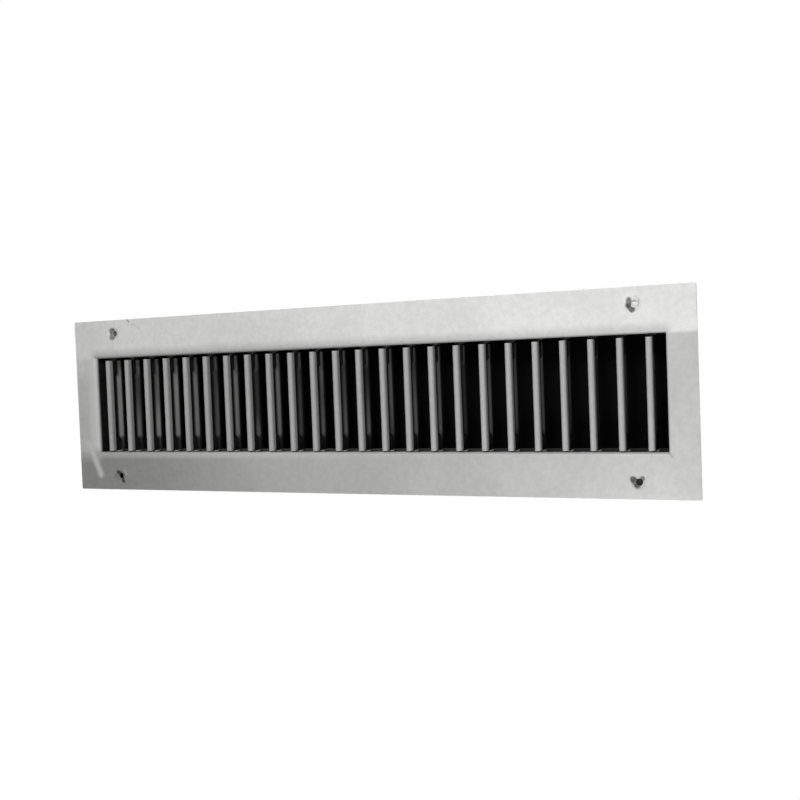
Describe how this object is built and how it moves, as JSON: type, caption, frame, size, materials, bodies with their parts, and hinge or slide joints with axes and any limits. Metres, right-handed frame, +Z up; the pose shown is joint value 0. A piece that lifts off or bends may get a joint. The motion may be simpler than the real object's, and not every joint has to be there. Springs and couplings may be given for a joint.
{
  "type": "single deflection duct grille",
  "caption": "Flat-flanged duct grille with a row of upright blades, each turning on its own pins to steer the air left or right.",
  "frame": {"origin": "centre of the four screw holes, in the rear face of the flange, which seats on the duct", "axes": "+X along the grille to the right as seen from the front, +Z up, the face looks along -Y and the neck runs back along +Y"},
  "size_m": [0.5002, 0.0312, 0.137],
  "materials": {
    "frame_sheet": "satin aluminium-coloured lacquer on formed steel sheet",
    "blade_sheet": "satin aluminium-coloured lacquer on folded steel strip",
    "pin_wire": "bright drawn wire",
    "bush_plastic": "moulded, natural colour"
  },
  "bodies": {
    "frame": {"top_rail": "frame_sheet", "bottom_rail": "frame_sheet", "left_stile": "frame_sheet", "right_stile": "frame_sheet", "upper_bushes": "bush_plastic", "lower_bushes": "bush_plastic"},
    "turning_blade_01": {"blade_01": "blade_sheet", "pivot_pins_01": "pin_wire"},
    "turning_blade_02": {"blade_02": "blade_sheet", "pivot_pins_02": "pin_wire"},
    "turning_blade_03": {"blade_03": "blade_sheet", "pivot_pins_03": "pin_wire"},
    "turning_blade_04": {"blade_04": "blade_sheet", "pivot_pins_04": "pin_wire"},
    "turning_blade_05": {"blade_05": "blade_sheet", "pivot_pins_05": "pin_wire"},
    "turning_blade_06": {"blade_06": "blade_sheet", "pivot_pins_06": "pin_wire"},
    "turning_blade_07": {"blade_07": "blade_sheet", "pivot_pins_07": "pin_wire"},
    "turning_blade_08": {"blade_08": "blade_sheet", "pivot_pins_08": "pin_wire"},
    "turning_blade_09": {"blade_09": "blade_sheet", "pivot_pins_09": "pin_wire"},
    "turning_blade_10": {"blade_10": "blade_sheet", "pivot_pins_10": "pin_wire"},
    "turning_blade_11": {"blade_11": "blade_sheet", "pivot_pins_11": "pin_wire"},
    "turning_blade_12": {"blade_12": "blade_sheet", "pivot_pins_12": "pin_wire"},
    "turning_blade_13": {"blade_13": "blade_sheet", "pivot_pins_13": "pin_wire"},
    "turning_blade_14": {"blade_14": "blade_sheet", "pivot_pins_14": "pin_wire"},
    "turning_blade_15": {"blade_15": "blade_sheet", "pivot_pins_15": "pin_wire"},
    "turning_blade_16": {"blade_16": "blade_sheet", "pivot_pins_16": "pin_wire"},
    "turning_blade_17": {"blade_17": "blade_sheet", "pivot_pins_17": "pin_wire"},
    "turning_blade_18": {"blade_18": "blade_sheet", "pivot_pins_18": "pin_wire"},
    "turning_blade_19": {"blade_19": "blade_sheet", "pivot_pins_19": "pin_wire"},
    "turning_blade_20": {"blade_20": "blade_sheet", "pivot_pins_20": "pin_wire"},
    "turning_blade_21": {"blade_21": "blade_sheet", "pivot_pins_21": "pin_wire"},
    "turning_blade_22": {"blade_22": "blade_sheet", "pivot_pins_22": "pin_wire"},
    "turning_blade_23": {"blade_23": "blade_sheet", "pivot_pins_23": "pin_wire"},
    "turning_blade_24": {"blade_24": "blade_sheet", "pivot_pins_24": "pin_wire"}
  },
  "joints": [
    {"name": "blade_01_turn", "type": "hinge", "parent": "frame", "child": "turning_blade_01", "pos_m": [-0.21907, 0.00873, 0], "axis": [0, 0, 1], "range_deg": [-45, 45]},
    {"name": "blade_02_turn", "type": "hinge", "parent": "frame", "child": "turning_blade_02", "pos_m": [-0.20003, 0.00873, 0], "axis": [0, 0, 1], "range_deg": [-45, 45]},
    {"name": "blade_03_turn", "type": "hinge", "parent": "frame", "child": "turning_blade_03", "pos_m": [-0.18097, 0.00873, 0], "axis": [0, 0, 1], "range_deg": [-45, 45]},
    {"name": "blade_04_turn", "type": "hinge", "parent": "frame", "child": "turning_blade_04", "pos_m": [-0.16193, 0.00873, 0], "axis": [0, 0, 1], "range_deg": [-45, 45]},
    {"name": "blade_05_turn", "type": "hinge", "parent": "frame", "child": "turning_blade_05", "pos_m": [-0.14288, 0.00873, 0], "axis": [0, 0, 1], "range_deg": [-45, 45]},
    {"name": "blade_06_turn", "type": "hinge", "parent": "frame", "child": "turning_blade_06", "pos_m": [-0.12383, 0.00873, 0], "axis": [0, 0, 1], "range_deg": [-45, 45]},
    {"name": "blade_07_turn", "type": "hinge", "parent": "frame", "child": "turning_blade_07", "pos_m": [-0.10477, 0.00873, 0], "axis": [0, 0, 1], "range_deg": [-45, 45]},
    {"name": "blade_08_turn", "type": "hinge", "parent": "frame", "child": "turning_blade_08", "pos_m": [-0.08572, 0.00873, 0], "axis": [0, 0, 1], "range_deg": [-45, 45]},
    {"name": "blade_09_turn", "type": "hinge", "parent": "frame", "child": "turning_blade_09", "pos_m": [-0.06667, 0.00873, 0], "axis": [0, 0, 1], "range_deg": [-45, 45]},
    {"name": "blade_10_turn", "type": "hinge", "parent": "frame", "child": "turning_blade_10", "pos_m": [-0.04763, 0.00873, 0], "axis": [0, 0, 1], "range_deg": [-45, 45]},
    {"name": "blade_11_turn", "type": "hinge", "parent": "frame", "child": "turning_blade_11", "pos_m": [-0.02857, 0.00873, 0], "axis": [0, 0, 1], "range_deg": [-45, 45]},
    {"name": "blade_12_turn", "type": "hinge", "parent": "frame", "child": "turning_blade_12", "pos_m": [-0.00953, 0.00873, 0], "axis": [0, 0, 1], "range_deg": [-45, 45]},
    {"name": "blade_13_turn", "type": "hinge", "parent": "frame", "child": "turning_blade_13", "pos_m": [0.00953, 0.00873, 0], "axis": [0, 0, 1], "range_deg": [-45, 45]},
    {"name": "blade_14_turn", "type": "hinge", "parent": "frame", "child": "turning_blade_14", "pos_m": [0.02857, 0.00873, 0], "axis": [0, 0, 1], "range_deg": [-45, 45]},
    {"name": "blade_15_turn", "type": "hinge", "parent": "frame", "child": "turning_blade_15", "pos_m": [0.04763, 0.00873, 0], "axis": [0, 0, 1], "range_deg": [-45, 45]},
    {"name": "blade_16_turn", "type": "hinge", "parent": "frame", "child": "turning_blade_16", "pos_m": [0.06667, 0.00873, 0], "axis": [0, 0, 1], "range_deg": [-45, 45]},
    {"name": "blade_17_turn", "type": "hinge", "parent": "frame", "child": "turning_blade_17", "pos_m": [0.08572, 0.00873, 0], "axis": [0, 0, 1], "range_deg": [-45, 45]},
    {"name": "blade_18_turn", "type": "hinge", "parent": "frame", "child": "turning_blade_18", "pos_m": [0.10477, 0.00873, 0], "axis": [0, 0, 1], "range_deg": [-45, 45]},
    {"name": "blade_19_turn", "type": "hinge", "parent": "frame", "child": "turning_blade_19", "pos_m": [0.12383, 0.00873, 0], "axis": [0, 0, 1], "range_deg": [-45, 45]},
    {"name": "blade_20_turn", "type": "hinge", "parent": "frame", "child": "turning_blade_20", "pos_m": [0.14288, 0.00873, 0], "axis": [0, 0, 1], "range_deg": [-45, 45]},
    {"name": "blade_21_turn", "type": "hinge", "parent": "frame", "child": "turning_blade_21", "pos_m": [0.16193, 0.00873, 0], "axis": [0, 0, 1], "range_deg": [-45, 45]},
    {"name": "blade_22_turn", "type": "hinge", "parent": "frame", "child": "turning_blade_22", "pos_m": [0.18097, 0.00873, 0], "axis": [0, 0, 1], "range_deg": [-45, 45]},
    {"name": "blade_23_turn", "type": "hinge", "parent": "frame", "child": "turning_blade_23", "pos_m": [0.20003, 0.00873, 0], "axis": [0, 0, 1], "range_deg": [-45, 45]},
    {"name": "blade_24_turn", "type": "hinge", "parent": "frame", "child": "turning_blade_24", "pos_m": [0.21907, 0.00873, 0], "axis": [0, 0, 1], "range_deg": [-45, 45]}
  ]
}
